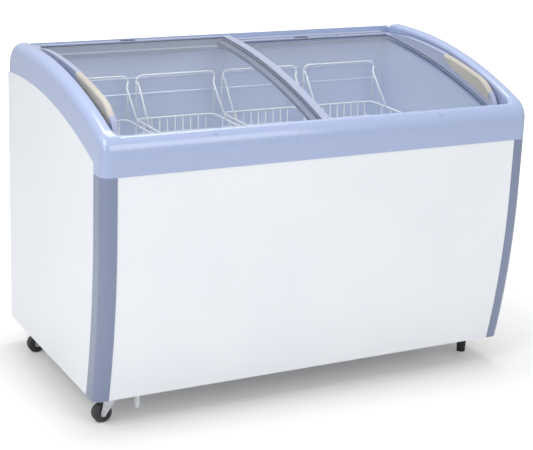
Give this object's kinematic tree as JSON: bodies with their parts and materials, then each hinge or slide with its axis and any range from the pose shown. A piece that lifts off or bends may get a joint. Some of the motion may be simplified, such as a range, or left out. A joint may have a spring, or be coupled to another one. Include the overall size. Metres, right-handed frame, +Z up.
{
  "type": "display chest freezer",
  "caption": "Low chest freezer on casters and feet, with a bowed white front, blue plastic frame, two curved sliding glass doors and hanging wire baskets.",
  "frame": {"origin": "on the floor, at the centre of the footprint", "axes": "+X to the right end as a shopper faces it, +Y to the rear, +Z up"},
  "size_m": [1.21, 0.7105, 0.866],
  "materials": {
    "frame_plastic": "glossy lavender-blue moulding",
    "track_plastic": "satin blue-grey extrusion",
    "white_panel": "smooth white coating",
    "galvanised_steel": "zinc plated",
    "foam": "rigid polyurethane foam",
    "tank_aluminium": "bright embossed aluminium",
    "condenser_metal": "mill finish",
    "black_enamel": "black enamel",
    "rubber": "matt",
    "dark_plastic": "matt black",
    "white_plastic": "satin white",
    "glass": "clear tempered",
    "door_plastic": "glossy lavender-blue moulding",
    "grip_plastic": "soft beige grip",
    "slot_plastic": "dark recess",
    "basket_wire": "white coated wire"
  },
  "bodies": {
    "cabinet": {"base_pan": "galvanised_steel", "compressor": "black_enamel", "compressor_grommets": "rubber", "condenser": "condenser_metal", "drain_spout": "white_plastic", "evaporator_coil": "condenser_metal", "fan_motor": "dark_plastic", "fan_shroud": "galvanised_steel", "foam_insulation": "foam", "foot_legs": "dark_plastic", "front_caster_plate": "galvanised_steel", "front_panel": "white_panel", "front_rail_plugs": "frame_plastic", "front_track": "track_plastic", "left_corner_post": "frame_plastic", "left_side_panel": "white_panel", "machine_bay_cover": "galvanised_steel", "power_cord": "dark_plastic", "power_plug": "dark_plastic", "rear_caster_plate": "galvanised_steel", "rear_panel": "white_panel", "rear_rail": "frame_plastic", "rear_track": "track_plastic", "right_corner_post": "frame_plastic", "right_side_panel": "white_panel", "side_grille": "white_plastic", "tank": "tank_aluminium", "thermostat": "dark_plastic", "top_frame": "frame_plastic"},
    "left_door": {"left_door_brush": "dark_plastic", "left_door_fin": "door_plastic", "left_door_finger_slot": "slot_plastic", "left_door_front_strip": "door_plastic", "left_door_glass": "glass", "left_door_grip": "grip_plastic", "left_door_meeting_strip": "door_plastic", "left_door_rear_strip": "door_plastic"},
    "right_door": {"right_door_fin": "door_plastic", "right_door_finger_slot": "slot_plastic", "right_door_front_strip": "door_plastic", "right_door_glass": "glass", "right_door_grip": "grip_plastic", "right_door_meeting_strip": "door_plastic", "right_door_rear_strip": "door_plastic"},
    "drain_plug": {"drain_plug": "rubber"},
    "condenser_fan": {"condenser_fan": "dark_plastic"},
    "thermostat_knob": {"thermostat_knob": "white_plastic"},
    "basket_1": {"basket_1": "basket_wire"},
    "basket_2": {"basket_2": "basket_wire"},
    "basket_3": {"basket_3": "basket_wire"},
    "basket_4": {"basket_4": "basket_wire"},
    "front_fork": {"front_caster_fork": "galvanised_steel", "front_caster_axle": "galvanised_steel"},
    "front_wheel": {"front_caster_wheel": "dark_plastic"},
    "front_glide": {"front_foot_glide": "dark_plastic"},
    "rear_fork": {"rear_caster_fork": "galvanised_steel", "rear_caster_axle": "galvanised_steel"},
    "rear_wheel": {"rear_caster_wheel": "dark_plastic"},
    "rear_glide": {"rear_foot_glide": "dark_plastic"}
  },
  "joints": [
    {"name": "left_door_slide", "type": "slide", "parent": "cabinet", "child": "left_door", "axis": [1, 0, 0], "range_m": [0, 0.48]},
    {"name": "right_door_slide", "type": "slide", "parent": "cabinet", "child": "right_door", "axis": [1, 0, 0], "range_m": [-0.48, 0]},
    {"name": "basket_1_lift", "type": "slide", "parent": "cabinet", "child": "basket_1", "axis": [0, 0, 1], "range_m": [0, 0.04]},
    {"name": "basket_2_lift", "type": "slide", "parent": "cabinet", "child": "basket_2", "axis": [0, 0, 1], "range_m": [0, 0.04]},
    {"name": "basket_3_lift", "type": "slide", "parent": "cabinet", "child": "basket_3", "axis": [0, 0, 1], "range_m": [0, 0.04]},
    {"name": "basket_4_lift", "type": "slide", "parent": "cabinet", "child": "basket_4", "axis": [0, 0, 1], "range_m": [0, 0.04]},
    {"name": "front_caster_swivel", "type": "hinge", "parent": "cabinet", "child": "front_fork", "pos_m": [-0.541, -0.25, 0.07], "axis": [0, 0, 1], "continuous": true},
    {"name": "front_wheel_spin", "type": "hinge", "parent": "front_fork", "child": "front_wheel", "pos_m": [-0.563, -0.25, 0.025], "axis": [0, 1, 0], "continuous": true},
    {"name": "rear_caster_swivel", "type": "hinge", "parent": "cabinet", "child": "rear_fork", "pos_m": [-0.541, 0.25, 0.07], "axis": [0, 0, 1], "continuous": true},
    {"name": "rear_wheel_spin", "type": "hinge", "parent": "rear_fork", "child": "rear_wheel", "pos_m": [-0.563, 0.25, 0.025], "axis": [0, 1, 0], "continuous": true},
    {"name": "front_foot_height", "type": "slide", "parent": "cabinet", "child": "front_glide", "axis": [0, 0, -1], "range_m": [0, 0.012]},
    {"name": "rear_foot_height", "type": "slide", "parent": "cabinet", "child": "rear_glide", "axis": [0, 0, -1], "range_m": [0, 0.012]},
    {"name": "drain_plug_lift", "type": "slide", "parent": "cabinet", "child": "drain_plug", "axis": [0, 0, 1], "range_m": [0, 0.02]},
    {"name": "thermostat_turn", "type": "hinge", "parent": "cabinet", "child": "thermostat_knob", "pos_m": [0.592, 0.055, 0.22], "axis": [1, 0, 0], "range_deg": [0, 270]},
    {"name": "fan_spin", "type": "hinge", "parent": "cabinet", "child": "condenser_fan", "pos_m": [0.536, -0.13, 0.21], "axis": [1, 0, 0], "continuous": true}
  ]
}
